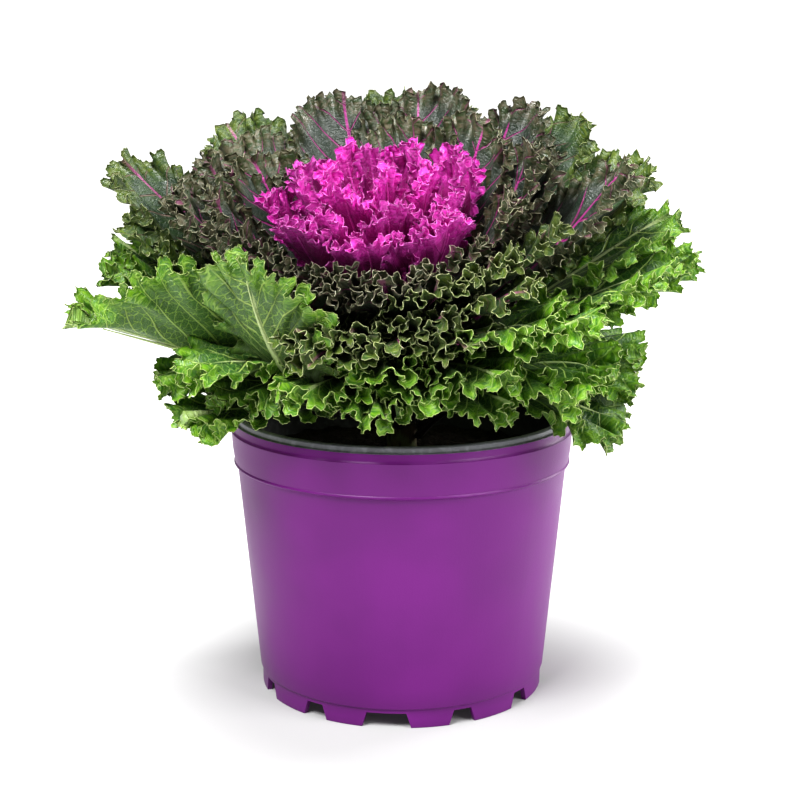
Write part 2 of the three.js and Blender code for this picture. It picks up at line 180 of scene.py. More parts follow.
def make_piece(name, points, faces, materials, *, node=None, smooth=None, material_index=None, attributes=None):
    """A mesh object from points in millimetres about the pot's axis, which rides on the plant's one body."""
    mesh = bpy.data.meshes.new(name)
    sizes = np.array([len(face) for face in faces])
    corners = np.concatenate([np.asarray(face) for face in faces]) if isinstance(faces, list) else faces.ravel()
    mesh.vertices.add(len(points))
    mesh.vertices.foreach_set("co", (points / 1000 + POT_CENTRE).astype(np.float32).ravel())
    mesh.loops.add(len(corners))
    mesh.loops.foreach_set("vertex_index", corners.astype(np.int32))
    mesh.polygons.add(len(sizes))
    mesh.polygons.foreach_set("loop_start", np.concatenate([[0], np.cumsum(sizes)[:-1]]).astype(np.int32))
    mesh.polygons.foreach_set("loop_total", sizes.astype(np.int32))
    mesh.polygons.foreach_set("use_smooth", np.ones(len(sizes), bool) if smooth is None else smooth)
    for material in materials:
        mesh.materials.append(material)
    if material_index is not None:
        mesh.polygons.foreach_set("material_index", material_index.astype(np.int32))
    for label, values in (attributes or {}).items():
        kind = "FLOAT_VECTOR" if values.ndim == 2 else "FLOAT"
        attribute = mesh.attributes.new(label, kind, "POINT")
        attribute.data.foreach_set("vector" if values.ndim == 2 else "value", values.astype(np.float32).ravel())
    mesh.update(calc_edges=True)
    mesh.validate()
    piece = bpy.data.objects.new(name, mesh)
    bpy.context.collection.objects.link(piece)
    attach(piece, "root")
    if node:
        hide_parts(node)
    return piece


# ---------- shading helpers ----------

def srgb(red, green, blue):
    """A linear colour from the usual 0 to 255."""
    values = [c / 255 for c in (red, green, blue)]
    return tuple(c / 12.92 if c <= 0.04045 else ((c + 0.055) / 1.055) ** 2.4 for c in values) + (1.0,)


class Shader:
    """Short ways to wire up the nodes of one material."""

    def __init__(self, name):
        self.material = bpy.data.materials.new(name)
        self.material.use_nodes = True
        self.tree = self.material.node_tree
        self.bsdf = self.tree.nodes["Principled BSDF"]

    def put(self, value, socket):
        if isinstance(value, bpy.types.NodeSocket):
            self.tree.links.new(value, socket)
        else:
            socket.default_value = value

    def node(self, kind, inputs=None, **settings):
        made = self.tree.nodes.new("ShaderNode" + kind)
        for key, value in settings.items():
            setattr(made, key, value)
        for key, value in (inputs or {}).items():
            self.put(value, made.inputs[key])
        return made

    def attribute(self, name, output="Fac"):
        return self.node("Attribute", attribute_name=name).outputs[output]

    def math(self, operation, a, b=0.0):
        return self.node("Math", {0: a, 1: b}, operation=operation).outputs[0]

    def step(self, value, low, high, start=0.0, end=1.0):
        """start at low, end at high and smooth between; low may be above high."""
        if low > high:
            low, high, start, end = high, low, end, start
        inputs = {"Value": value, "From Min": low, "From Max": high, "To Min": start, "To Max": end}
        return self.node("MapRange", inputs, interpolation_type="SMOOTHSTEP").outputs[0]

    def mix(self, factor, a, b, blend="MIX"):
        made = self.node("Mix", data_type="RGBA", blend_type=blend)
        self.put(factor, made.inputs[0])
        self.put(a, made.inputs[6])
        self.put(b, made.inputs[7])
        return made.outputs[2]

    def scaled(self, vector, factors):
        return self.node("VectorMath", {0: vector, 1: factors}, operation="MULTIPLY").outputs[0]

    def noise(self, vector, scale, detail=2.0, output="Fac"):
        return self.node("TexNoise", {"Vector": vector, "Scale": scale, "Detail": detail}).outputs[output]

    def bump(self, height, distance, strength):
        bump = self.node("Bump", {"Height": height, "Distance": distance, "Strength": strength})
        self.put(bump.outputs[0], self.bsdf.inputs["Normal"])

    def surface(self, **values):
        for key, value in values.items():
            self.put(value, self.bsdf.inputs[key.replace("_", " ")])


# ---------- leaf materials ----------

def leaf_material(name, colours, rib_width=1.3, vein_width=0.42, net_strength=0.4, vein_strength=0.8):
    """Leaf: a lamina with its veins and net, a frill of another colour, a thin pale edge that is partly painted
    highlight, and a tinted base.

    leaf_mm holds the distance across the leaf, the distance along it from the blade's base, and the distance to the
    edge. leaf_vein holds the side veins' phase, their pitch, and 1 on the underside. leaf_tone differs by leaf.
    """
    s = Shader(name)
    place = s.attribute("leaf_mm", "Vector")
    across, along, rim = s.node("SeparateXYZ", {0: place}).outputs
    phase, pitch, underside = s.node("SeparateXYZ", {0: s.attribute("leaf_vein", "Vector")}).outputs
    tone = s.attribute("leaf_tone")
    shifted = s.node("VectorMath", {0: (97.0, 41.0, 0.0), 1: tone}, operation="MULTIPLY").outputs[0]
    grain = s.node("VectorMath", {0: place, 1: shifted}, operation="ADD").outputs[0]

    # The net of the finest veins is two sizes of cells, a little bent, and clearer on the underside.
    blotches = s.noise(grain, 0.09, 3.0)
    warp = s.noise(grain, 0.35, output="Color")
    bent = s.node("VectorMath", {0: warp, 1: (3.0, 3.0, 0.0), 2: grain}, operation="MULTIPLY_ADD").outputs[0]
    coarse, fine = (
        s.node("TexVoronoi", {"Vector": bent, "Scale": scale}, feature="DISTANCE_TO_EDGE", voronoi_dimensions="2D")
        for scale in (0.26, 0.75)
    )
    net = s.math("MAXIMUM", s.step(coarse.outputs[0], 0.09, 0.02), s.step(fine.outputs[0], 0.12, 0.0, 0.0, 0.4))
    net = s.math("MULTIPLY", net, s.step(underside, 0.0, 1.0, 0.6, 1.0))

    # Veins and midrib narrow towards the edge, and fade out just before it.
    narrowed = s.step(rim, 4.0, 45.0, 0.35, 1.0)
    away = s.math("MULTIPLY", s.math("ABSOLUTE", s.math("SUBTRACT", phase, s.math("ROUND", phase))), pitch)
    vein = s.step(s.math("DIVIDE", away, narrowed), vein_width * 2.0, vein_width * 0.7)
    from_rib = s.math("DIVIDE", s.math("ABSOLUTE", across), narrowed)
    rib = s.step(from_rib, rib_width * 1.5, rib_width * 0.8)
    inside = s.step(rim, 2.0, 11.0, 0.35, 1.0)
    vein = s.math("MULTIPLY", vein, inside)
    rib = s.math("MULTIPLY", rib, inside)

    # Colours, from the lamina outwards and then along the leaf. The lamina is darker than the frill: partly the
    # leaf's own colour, partly painted shade for the blade's depth behind its frills.
    lamina = s.mix(s.step(blotches, 0.35, 0.65), colours["lamina"], colours["lamina_2"])
    lamina = s.mix(s.math("MULTIPLY", underside, 0.55), lamina, colours["underside"])
    frill = s.mix(s.step(s.noise(grain, 0.5), 0.35, 0.65), colours["frill"], colours["frill_2"])
    in_frill = s.step(s.math("ADD", rim, s.math("MULTIPLY", blotches, 8.0)), 19.0, 7.0)
    colour = s.mix(in_frill, lamina, frill)
    colour = s.mix(s.math("MULTIPLY", net, net_strength), colour, colours["net"])
    colour = s.mix(s.math("MULTIPLY", vein, vein_strength), colour, colours["vein"])
    at_base = s.step(along, 26.0, -6.0)
    streaks = s.noise(s.scaled(grain, (1.0, 0.12, 0.0)), 0.8)
    colour = s.mix(s.math("MULTIPLY", at_base, s.step(streaks, 0.25, 0.6, 0.35, 1.0)), colour, colours["base"])
    rib_colour = s.mix(s.step(along, 12.0, -24.0), colours["rib"], colours["petiole"])
    colour = s.mix(rib, colour, rib_colour)
    # Down the petiole the colour turns near black: painted shade, for the petioles that run down into the shadow
    # under the leaves.
    petiole_painted_shade = srgb(40, 20, 28)
    colour = s.mix(s.step(along, -4.0, -26.0), colour, petiole_painted_shade)
    # The thin pale edge is partly the margin's own paler colour and partly a painted highlight where the margin
    # catches the light.
    edge = s.step(rim, 0.26, 0.05)
    colour = s.mix(s.math("MULTIPLY", edge, 0.55), colour, colours["edge"])
    lightness = s.step(tone, 0.0, 1.0, 0.8, 1.2)
    grey = s.node("CombineXYZ", {0: lightness, 1: lightness, 2: lightness}).outputs[0]
    colour = s.mix(1.0, colour, grey, "MULTIPLY")

    # Veins are sunk on the upper side and raised on the underside.
    relief = s.math("ADD", s.math("MULTIPLY", net, 0.35), vein)
    side = s.math("SUBTRACT", s.math("MULTIPLY", underside, 2.0), 1.0)
    height = s.math("ADD", s.math("MULTIPLY", relief, side), s.math("MULTIPLY", s.noise(grain, 0.7, 3.0), 0.7))
    s.surface(Base_Color=colour, Roughness=s.step(blotches, 0.3, 0.7, 0.3, 0.44), Specular_IOR_Level=0.65,
              Sheen_Weight=0.05, Sheen_Roughness=0.5)
    s.bump(height, 0.0009, 0.8)
    return s.material


green_leaf = leaf_material("green_leaf", {
    "lamina": srgb(30, 66, 22), "lamina_2": srgb(46, 90, 26), "underside": srgb(84, 120, 58),
    "frill": srgb(54, 106, 12), "frill_2": srgb(106, 150, 20), "net": srgb(152, 186, 80), "vein": srgb(178, 204, 110),
    "rib": srgb(194, 210, 148), "petiole": srgb(84, 52, 60), "base": srgb(80, 102, 48), "edge": srgb(216, 228, 150),
}, net_strength=0.7)
inner_green_leaf = leaf_material("inner_green_leaf", {
    "lamina": srgb(26, 50, 28), "lamina_2": srgb(42, 68, 34), "underside": srgb(70, 96, 60),
    "frill": srgb(50, 76, 24), "frill_2": srgb(94, 110, 40), "net": srgb(100, 122, 70), "vein": srgb(124, 100, 90),
    "rib": srgb(156, 80, 124), "petiole": srgb(90, 24, 72), "base": srgb(70, 36, 58), "edge": srgb(208, 214, 156),
}, net_strength=0.45)
dusky_leaf = leaf_material("dusky_leaf", {
    "lamina": srgb(28, 46, 33), "lamina_2": srgb(46, 56, 46), "underside": srgb(98, 110, 94),
    "frill": srgb(50, 68, 32), "frill_2": srgb(96, 90, 68), "net": srgb(84, 92, 70), "vein": srgb(152, 44, 118),
    "rib": srgb(168, 46, 134), "petiole": srgb(96, 12, 74), "base": srgb(80, 10, 62), "edge": srgb(190, 186, 154),
}, net_strength=0.35, vein_width=0.5, vein_strength=0.9)
heart_leaf = leaf_material("heart_leaf", {
    "lamina": srgb(126, 2, 90), "lamina_2": srgb(168, 6, 126), "underside": srgb(190, 30, 154),
    "frill": srgb(198, 14, 158), "frill_2": srgb(240, 86, 208), "net": srgb(206, 50, 170), "vein": srgb(214, 70, 180),
    "rib": srgb(210, 70, 176), "petiole": srgb(180, 60, 150), "base": srgb(140, 6, 104), "edge": srgb(248, 150, 228),
}, net_strength=0.3, rib_width=0.8, vein_width=0.3, vein_strength=0.6)


# ---------- the stalk's axis ----------

def axis_frame(height):
    """The point of the stalk's axis at a height along it, and the turn from upright to the axis there."""
    bent = min(max(height, 0.0), STALK["bend_length"])
    arc = STALK["bend_length"] / STALK["bend"]
    lean = bent / arc
    side = arc * (1 - math.cos(lean)) + (height - bent) * math.sin(lean)
    rise = arc * math.sin(lean) + (height - bent) * math.cos(lean)
    east, north = math.cos(STALK["towards"]), math.sin(STALK["towards"])
    along = np.array([[0, 0, east], [0, 0, north], [-east, -north, 0]])
    turn = np.eye(3) + math.sin(lean) * along + (1 - math.cos(lean)) * along @ along
    return np.array([side * east, side * north, SOIL["surface"] + rise]), turn


def stalk_radius(height):
    share = max(height, 0.0) / STALK["crown_height"]
    return STALK["base"] + (STALK["crown"] - STALK["base"]) * share


# ---------- leaves ----------

def kind_at(index):
    return "green" if index < GREEN else "dusky" if index < GREEN + DUSKY else "heart"


def leaf_sizes(index, azimuth=None):
    """The sizes of leaf number index, counted from the oldest; a half gives one between two of them."""
    age = index / (GREEN + DUSKY + HEART - 1)
    turned = azimuth
    if azimuth is None:
        turned = FIRST_AZIMUTH + index * DIVERGENCE + STRAY["azimuth"] * spread(index, 2)
    east, north = math.cos(math.radians(turned)), math.sin(math.radians(turned))
    across = GROWTH["left" if east < 0 else "right"]
    forward = GROWTH["front" if north < 0 else "back"]
    rise, end, reach = (
        np.interp(age, GROWTH_AGES, [row[k] for row in across]) * east**2
        + np.interp(age, GROWTH_AGES, [row[k] for row in forward]) * north**2
        for k in range(3)
    )
    shape = {key: float(np.interp(age, SHAPE_AGES, row)) for key, row in SHAPE.items()}
    leaf = {
        "azimuth": turned,
        "height": float(np.interp(age, GROWTH_AGES, GROWTH_HEIGHT)),
        "rise": rise + STRAY["rise"] * spread(index, 3),
        "end": end + STRAY["end"] * spread(index, 4),
        "length": reach * (1 + STRAY["length"] * spread(index, 1)),
        "folds": (shape["fold"], shape["fold"]),
        **PARTICULAR.get(index + 1, {}),
    }
    leaf.setdefault("petiole", shape["petiole"] * leaf["length"])
    for angle in ("azimuth", "rise", "end"):
        leaf[angle] = math.radians(leaf[angle])
    leaf.update(
        index=index,
        blade=leaf["length"] - leaf["petiole"],
        folds=[math.radians(fold) for fold in leaf["folds"]],
        width=shape["width"] * (1 + STRAY["width"] * spread(index, 5)),
        ruffle=shape["ruffle"],
        thick=shape["thick"],
        phase=2 * math.pi * draw(index, 6),
        waves=WAVES[kind_at(index)],
    )
    leaf["axis"], turn = axis_frame(leaf["height"])
    c, s = math.cos(leaf["azimuth"]), math.sin(leaf["azimuth"])
    leaf["turn"] = turn @ np.array([[c, -s, 0], [s, c, 0], [0, 0, 1]])
    return leaf


def leaf_point(leaf, across, along, lift):
    """A point of the leaf's middle surface, as in the CAD part, about the pot's axis."""
    start = stalk_radius(leaf["height"]) + GAP + 0.5 * leaf["thick"] * math.sin(leaf["rise"])
    bend = (leaf["end"] - leaf["rise"]) / leaf["length"]
    slope = leaf["rise"] + bend * along
    rib_radius = start + (np.sin(slope) - math.sin(leaf["rise"])) / bend
    rib_height = (math.cos(leaf["rise"]) - np.cos(slope)) / bend
    room = np.maximum(rib_radius, 1.0) * HALF_TURN
    # Waves flatten towards the sides, down to the least share of their height.
    least, far = 0.2, 20
    flattened = lift * np.maximum(least, 1 / np.cosh(np.clip(across / room, -far, far)) ** 2)
    fold = np.where(across < 0, leaf["folds"][0], leaf["folds"][1]) * smoothstep(along / leaf["petiole"], *FOLDS_UP)
    up = flattened * np.cos(fold) + np.abs(across) * np.sin(fold)
    out = across * np.cos(fold) - np.sign(across) * flattened * np.sin(fold)
    radius = rib_radius - up * np.sin(slope)
    height = rib_height + up * np.cos(slope)
    turn = HALF_TURN * np.tanh(out / room)
    local = np.stack([radius * np.cos(turn), radius * np.sin(turn), height], axis=-1)
    return local @ leaf["turn"].T + leaf["axis"]


def fan(leaf, u, q):
    """Where the blade's fan of lines lies on the flat leaf: across, along, and the line's full length."""
    around = FAN_HALF_ANGLE * (2 * u - 1)
    angle = around * (FAN["at_base"] + (1 - FAN["at_base"]) * q)
    outline = np.cos(around * FAN["narrowing"]) ** FAN["bluntness"]
    lobes = 1 + FAN["lobe"] * np.sin(2 * math.pi * FAN["lobes"] * u + leaf["phase"])
    reach = leaf["blade"] * outline * lobes
    return reach * q * np.sin(angle) * leaf["width"], leaf["petiole"] + reach * q * np.cos(angle), reach


def blade_point(leaf, u, q):
    """The blade's middle surface with its broad waves."""
    across, along, _ = fan(leaf, u, q)
    strength = smoothstep(q, 0.3, 1.0) * (0.55 + 0.45 * np.sin(math.pi * u))
    varied = 1 + 0.25 * np.sin(2 * math.pi * 2.1 * u + 2 * leaf["phase"])
    wave = leaf["ruffle"] * strength * varied * np.cos(2 * math.pi * leaf["waves"] * u)
    return leaf_point(leaf, across, along, wave)


# Rings of the blade's mesh: share of the way in from the margin, and how many of the margin's columns each one skips.
RINGS = [(0.0, 1), (0.01, 2), (0.024, 2), (0.044, 4), (0.07, 4), (0.1, 4), (0.14, 4), (0.19, 8), (0.25, 8),
         (0.33, 8), (0.43, 16), (0.55, 16), (0.7, 16), (0.87, 16)]


def grid_faces(counts):
    """Triangles of rings of points, each ring with as many points as the last one or half as many cells."""
    starts = np.concatenate([[0], np.cumsum(counts)])
    faces = []
    for k in range(len(counts) - 1):
        a, b = starts[k], starts[k + 1]
        cells = counts[k + 1] - 1
        i = np.arange(cells)
        if counts[k] == counts[k + 1]:
            faces += [np.stack([a + i, a + i + 1, b + i + 1], 1), np.stack([a + i, b + i + 1, b + i], 1)]
        else:
            faces += [
                np.stack([b + i, a + 2 * i, a + 2 * i + 1], 1),
                np.stack([b + i, a + 2 * i + 1, b + i + 1], 1),
                np.stack([b + i + 1, a + 2 * i + 1, a + 2 * i + 2], 1),
            ]
    a, apex = starts[len(counts) - 1], starts[-1]
    i = np.arange(counts[-1] - 1)
    faces.append(np.stack([a + i, a + i + 1, np.full(len(i), apex)], 1))
    return np.concatenate(faces), starts


def uneven(turn, seed, slowest):
    """A smooth irregular wave of about unit size round the margin."""
    waves = [(1.0, 1.0), (1.73, 0.8), (2.91, 0.7), (4.37, 0.5)]
    return sum(size * np.sin(rate * slowest * turn + (k + 1) * seed) for k, (rate, size) in enumerate(waves)) / 1.6


def rim_distance(leaf, u, q):
    """How far a point of the flat blade is from its edge."""
    _, _, reach = fan(leaf, u, q)
    angle = FAN_HALF_ANGLE * (2 * u - 1)
    return (1 - q) * reach * np.hypot(np.cos(angle), leaf["width"] * np.sin(angle))


def frilled(leaf, u, q):
    """The blade with the main folds of its frill, which lean over each other and end in lobes; and outwards."""
    middle = blade_point(leaf, u, q)
    step = 0.002
    right = unit(blade_point(leaf, u + step, q) - blade_point(leaf, u - step, q))
    outward = blade_point(leaf, u, q + step) - blade_point(leaf, u, q - step)
    up = unit(np.cross(outward, right))
    outward = unit(np.cross(right, up))
    size = leaf["frill"]
    turn = 2 * math.pi * u
    seeds = [2 * math.pi * draw(leaf["index"], channel) for channel in range(10, 13)]
    fold = turn * leaf["margin"] / size["pitch"] + FOLD_DRIFT * uneven(turn, seeds[0], 3.1)
    rim = rim_distance(leaf, u, q)
    deep = np.clip(1 - rim / size["depth"], 0, 1) ** 1.2
    outer = np.clip(1 - 1.6 * rim / size["depth"], 0, 1) ** 1.3
    tall = size["height"] * (1 + UNEVENNESS * uneven(turn, seeds[1], 4.7))
    lift = tall * deep * np.cos(fold)
    slide = LEAN * size["pitch"] * deep * np.sin(2 * fold)
    out = size["lobe"] * outer * np.cos(2 * fold + 0.6 * uneven(turn, seeds[2], 5.0))
    return middle + up * lift[:, None] + right * slide[:, None] + outward * out[:, None], outward


def surface_normals(points, faces):
    a, b, c = (points[faces[:, k]] for k in range(3))
    flat = np.cross(b - a, c - a)
    normals = np.zeros_like(points)
    for k in range(3):
        for axis in range(3):
            normals[:, axis] += np.bincount(faces[:, k], flat[:, axis], len(points))
    return unit(normals)


def blade_mesh(leaf):
    """Both faces of the blade and its edge: points, triangles, and what the material reads at each point."""
    samples, fewest, coarsest, base = 3001, 10, RINGS[-1][1], (0.5, 0.03)
    fine = np.linspace(0, 1, samples)
    x, y, _ = fan(leaf, fine, np.ones_like(fine))
    leaf["margin"] = float(np.hypot(np.diff(x), np.diff(y)).sum())
    edge, _ = frilled(leaf, fine, np.ones_like(fine))
    run = np.concatenate([[0], np.cumsum(np.linalg.norm(np.diff(edge, axis=0), axis=1))])
    columns = coarsest * max(fewest, round(run[-1] * leaf["detail"] / coarsest))
    spots = np.interp(np.linspace(0, run[-1], columns + 1), run, fine)
    counts = [columns // skip + 1 for _, skip in RINGS]
    u = np.concatenate([spots[::skip] for _, skip in RINGS] + [base[:1]])
    q = np.concatenate([np.full(count, 1 - inset) for (inset, _), count in zip(RINGS, counts)] + [base[1:]])
    faces, starts = grid_faces(counts)
    middle, outward = frilled(leaf, u, q)
    if np.sum(surface_normals(middle, faces) * leaf["turn"][:, 2]) < 0:
        faces = faces[:, ::-1]

    # Ripples and teeth follow the folded edge.
    size = leaf["frill"]
    rim = rim_distance(leaf, u, q)
    turn = 2 * math.pi * u
    seeds = [2 * math.pi * draw(leaf["index"], channel) for channel in range(13, 16)]
    ripple = 2 * math.pi * np.interp(u, fine, run) / size["ripple"] + RIPPLE_DRIFT * uneven(turn, seeds[0], 9.0)
    small = size["small"] * (1 + UNEVENNESS * uneven(turn, seeds[1], 11.0))
    small = small * np.clip(1 - rim / size["reach"], 0, 1) ** 1.4
    off = small * np.cos(ripple)
    out = size["round"] * small * (2 * np.abs(np.sin(0.5 * ripple + seeds[2])) ** 0.6 - 1.3)
    margin = np.arange(counts[0])
    tooth, between = 1.0, -0.8
    bite = np.array([tooth, between])[margin % 2] * (0.5 + 0.9 * np.sin(margin * 1.913 + leaf["phase"]) ** 2)
    out[: counts[0]] += size["teeth"] * bite
    normals = surface_normals(middle, faces)
    outward = unit(outward - normals * np.sum(outward * normals, axis=1, keepdims=True))
    middle = middle + normals * off[:, None] + outward * out[:, None]
    normals = surface_normals(middle, faces)
    across, along, _ = fan(leaf, u, q)
    half = 0.5 * SHEET * (1 + THICKER_INSIDE * smoothstep(rim, 2, 25))
    top, bottom = middle + normals * half[:, None], middle - normals * half[:, None]

    # The edge: round the margin, and down both sides to the blade's base.
    first = [starts[k] for k in range(len(counts))]
    last = [starts[k] + counts[k] - 1 for k in range(len(counts))]
    loop = np.array([len(u) - 1] + first[::-1] + list(range(1, counts[0])) + last[1:] + [len(u) - 1])
    i, j = loop[:-1], loop[1:]
    total = len(u)
    wall = np.concatenate([np.stack([i, j, j + total], 1), np.stack([i, j + total, i + total], 1)])
    triangles = np.concatenate([faces, faces[:, ::-1] + total, wall])
    smooth = np.concatenate([np.ones(2 * len(faces), bool), np.zeros(len(wall), bool)])

    # Side veins leave the midrib at the opening angle, and below them more fan out from the blade's base.
    x = np.abs(across) / leaf["width"]
    y = along - leaf["petiole"]
    wander = 1.6 * np.sin(0.11 * y + leaf["phase"]) + 1.2 * np.sin(0.17 * x + 2 * leaf["phase"]) * np.sign(across)
    course = y + wander * smoothstep(x, 0, 12)
    pinnate, basal, opening = 6.5, 3.0, math.radians(42)
    around = np.arctan2(x, course)
    upper = pinnate * (course - x / math.tan(opening)) / leaf["blade"]
    lower = -basal * (around - opening) / (FAN_HALF_ANGLE - opening)
    phase = np.where(around < opening, upper, lower)
    pitch = np.where(around < opening, leaf["blade"] * math.sin(opening) / pinnate,
                     np.maximum(np.hypot(x, course), 1) * (FAN_HALF_ANGLE - opening) / basal)
    mm = np.stack([across, y, rim], axis=1)
    vein = [np.stack([phase, pitch, np.full(total, side)], axis=1) for side in (0.0, 1.0)]
    return np.concatenate([top, bottom]), triangles, smooth, np.concatenate([mm, mm]), np.concatenate(vein)


def rib_mesh(leaf, sides=10, stations=30):
    """The petiole and the midrib: one round, tapering rib, mostly below the blade."""
    reach = RIB["reach"] * leaf["blade"]
    along = np.linspace(0, 1, stations) * (leaf["petiole"] + reach)
    centre = leaf_point(leaf, 0 * along, along, 0.0)
    ahead = unit(np.gradient(centre, axis=0))
    up = unit(leaf_point(leaf, 0 * along, along, 1.0) - centre)
    right = np.cross(ahead, up)
    past = np.clip((along - leaf["petiole"]) / reach, 0, 1)
    slimmer = 1 - RIB["slimmer"] * np.minimum(along / leaf["petiole"], 1)
    wide = RIB["half_width"] * slimmer * (1 - past) ** 1.7 + RIB["tip_width"]
    deep = 0.5 * leaf["thick"] * slimmer * (1 - past) ** 1.2 + RIB["tip_depth"]
    centre = centre - up * (deep * RIB["sunk"] * np.minimum(1, past * 8 + 0.2))[:, None]
    turn = 2 * math.pi * np.arange(sides) / sides
    ring = (centre[:, None, :] + np.cos(turn)[None, :, None] * right[:, None, :] * wide[:, None, None]
            + np.sin(turn)[None, :, None] * up[:, None, :] * deep[:, None, None])
    points = np.concatenate([ring.reshape(-1, 3), centre[:1], centre[-1:]])
    faces = tube_faces(stations, sides)
    # To the material, the rib is the blade's middle line, far from the edge and halfway between two side veins.
    from_edge, between, pitch, upper_side = 30.0, 0.5, 10.0, 0.0
    along_points = np.concatenate([np.repeat(along, sides), along[:1], along[-1:]]) - leaf["petiole"]
    mm = np.stack([0 * along_points, along_points, np.full(len(points), from_edge)], axis=1)
    vein = np.tile([between, pitch, upper_side], (len(points), 1))
    return points, faces, np.ones(len(faces), bool), mm, vein


# The frill's folds along the flat edge, off it and inwards, its lobes, and the ripples and teeth of the folded edge.
FRILLS = {
    "green": {"pitch": 11.4, "height": 4.2, "depth": 18.0, "lobe": 1.5, "ripple": 5.6, "small": 0.95, "round": 1.3,
              "reach": 6.0, "teeth": 0.36, "room": 3.0},
    "dusky": {"pitch": 9.8, "height": 3.7, "depth": 15.0, "lobe": 1.3, "ripple": 5.2, "small": 0.9, "round": 1.3,
              "reach": 5.5, "teeth": 0.32, "room": 3.0},
    "heart": {"pitch": 8.4, "height": 3.1, "depth": 10.5, "lobe": 1.1, "ripple": 4.6, "small": 0.85, "round": 1.3,
              "reach": 4.5, "teeth": 0.28, "room": -3.0},
}
# The two leaves that show their undersides at the front left have larger folds.
BOLD = {"pitch": 13.0, "height": 5.6, "depth": 20.0, "lobe": 2.6}
BOLD_LEAVES = (10, 15)
# Blades that stand up along one side more than the CAD's: the angles of their two halves.
RAISED = {15: (2, 54)}
# For all frills: how far folds and ripples drift in radians, how uneven they are, and how far folds lean over.
FOLD_DRIFT, RIPPLE_DRIFT, UNEVENNESS, LEAN = 0.9, 1.2, 0.35, 0.14
# A blade's thickness at its edge, its gain inwards, and the share of the CAD's broad waves that it keeps.
SHEET, THICKER_INSIDE, WAVE_SHARE = 0.24, 1.2, 0.65
# The rib reaches this share of the blade, is slimmer by a share at the blade's base, and lies a little sunk below it.
RIB = {"reach": 0.86, "half_width": 2.8, "slimmer": 0.3, "tip_width": 0.25, "tip_depth": 0.3, "sunk": 0.45}
# Columns per millimetre of edge, and the share of them that blades at the back have.
DETAIL = {"leaf": 1.25, "leaflet": 1.0, "back": 0.65}
# Sines of the azimuth that end the front and begin the back, and from which blades have fewer columns.
FRONT, BACK, FEWER = -0.5, 0.2, 0.3


def make_leaf(name, index, node=None, azimuth=None):
    leaf = leaf_sizes(index, azimuth)
    kind, material = kind_at(index), leaf_colours(index, leaf["azimuth"])
    detail = DETAIL["leaf" if node else "leaflet"]
    if math.sin(leaf["azimuth"]) > FEWER:
        detail *= DETAIL["back"]
    frill = {**FRILLS[kind], **(BOLD if index in BOLD_LEAVES else {})}
    leaf.update(frill=frill, detail=detail)
    leaf["blade"] -= frill["room"]
    leaf["ruffle"] *= WAVE_SHARE
    if index in RAISED:
        leaf["folds"] = [math.radians(fold) for fold in RAISED[index]]
    blade, rib = blade_mesh(leaf), rib_mesh(leaf)
    points = np.concatenate([blade[0], rib[0]])
    faces = np.concatenate([blade[1], rib[1] + len(blade[0])])
    smooth, mm, vein = (np.concatenate([blade[k], rib[k]]) for k in (2, 3, 4))
    attributes = {"leaf_mm": mm, "leaf_vein": vein, "leaf_tone": np.full(len(points), draw(index, 7))}
    make_piece(name, points, faces, [material], node=node, smooth=smooth, attributes=attributes)


# Leaves older than these are bright green, by side; dusky ones older than the last are still greenish at the front.
BRIGHT_BEFORE = {"front": 22, "back": 8, "side": 18}
GREENISH_BEFORE = 35


def leaf_colours(index, azimuth):
    """A leaf's material. The front's leaves stay green up to a younger age."""
    side = "front" if math.sin(azimuth) < FRONT else "back" if math.sin(azimuth) > BACK else "side"
    if kind_at(index) == "green":
        return green_leaf if index < BRIGHT_BEFORE[side] else inner_green_leaf
    if kind_at(index) == "dusky":
        return inner_green_leaf if side == "front" and index < GREENISH_BEFORE else dusky_leaf
    return heart_leaf


def make_leaves():
    for index in range(GREEN + DUSKY + HEART):
        kind = kind_at(index)
        number = index + 1 - {"green": 0, "dusky": GREEN, "heart": GREEN + DUSKY}[kind]
        node = f"{kind}_leaf_{number:02d}"
        make_leaf(node + "_blade", index, node=node)


# More leaves between the numbered ones, by their place in the order of age and their azimuth.
FILLERS = [
    (6.5, -62), (13.5, -112), (15.5, -66), (19.5, -92), (22.5, -70), (23.5, -108), (16.5, -45), (10.5, -96),
    (5.5, -165), (6.5, -136), (9.5, -143), (14.5, -178), (18.5, 172), (14.5, 146), (21.5, 128), (10.5, 155),
    (3.5, 100), (8.5, 118), (2.5, 58), (13.5, 22), (17.5, 2), (21.5, 42), (8.5, -34), (5.5, 4), (1.5, 140), (6.5, 82),
    (26.5, -112), (26.5, -52), (28.5, -72), (30.5, -98), (32.5, -48), (35.5, -122), (36.5, -86), (37.5, -56),
    (24.5, 172), (28.5, 158), (31.5, -176), (30.5, 75), (30.5, 20), (34.5, 45), (34.5, 140),
    (38.5, -78), (39.5, -110), (42.5, -60), (42.5, -134), (43.5, -92), (44.5, -40), (45.5, -120),
]


def make_fillers():
    for number, (index, azimuth) in enumerate(FILLERS, 1):
        make_leaf(f"{kind_at(index)}_leaflet_{number:02d}", index, azimuth=azimuth)


make_leaves()
make_fillers()


# ---------- pot ----------

def pot_plastic():
    s = Shader("pot_plastic")
    where = s.node("TexCoord").outputs["Object"]
    cloudy = s.noise(where, 22.0, 3.0)
    grain = s.noise(where, 1400.0, 2.0)
    colour = s.mix(s.step(cloudy, 0.3, 0.7), srgb(98, 22, 106), srgb(105, 25, 113))
    s.surface(Base_Color=colour, Roughness=s.step(cloudy, 0.3, 0.7, 0.36, 0.44), Specular_IOR_Level=0.3)
    s.bump(grain, 0.00012, 0.35)
    return s.material


